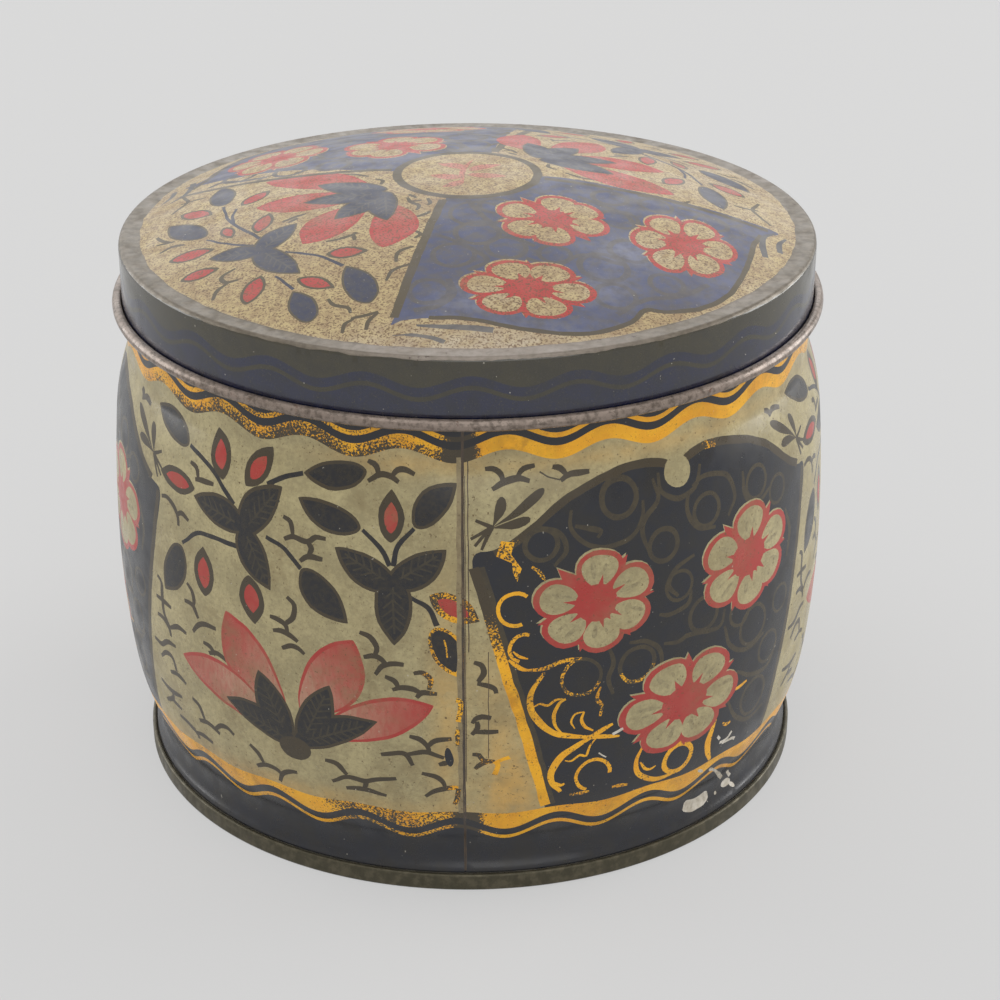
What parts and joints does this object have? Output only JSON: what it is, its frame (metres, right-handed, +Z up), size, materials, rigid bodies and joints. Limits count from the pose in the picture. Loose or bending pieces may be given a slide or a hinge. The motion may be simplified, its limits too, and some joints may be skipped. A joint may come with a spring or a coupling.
{
  "type": "biscuit tin",
  "caption": "Round barrel-shaped printed tinplate biscuit tin with a double-seamed base and a lift-off domed slip lid with a curled bead.",
  "frame": {"origin": "on the axis of the tin, in the plane that it stands on", "axes": "+Z up along the axis, -Y towards the viewer at the side seam, +X to the viewer's right"},
  "size_m": [0.164, 0.164, 0.138],
  "materials": {
    "printed_wall": "varnished print over tinplate, rubbed and freckled with age",
    "base_plate": "tarnished olive-brown tinplate",
    "printed_lid": "varnished print over tinplate, worn bare at the corner and the bead"
  },
  "bodies": {
    "tin": {"body_wall": "printed_wall", "base_disc": "base_plate"},
    "lid": {"slip_lid": "printed_lid"}
  },
  "joints": [
    {"name": "lid_lift", "type": "slide", "parent": "tin", "child": "lid", "axis": [0, 0, 1], "range_m": [0, 0.12]}
  ]
}
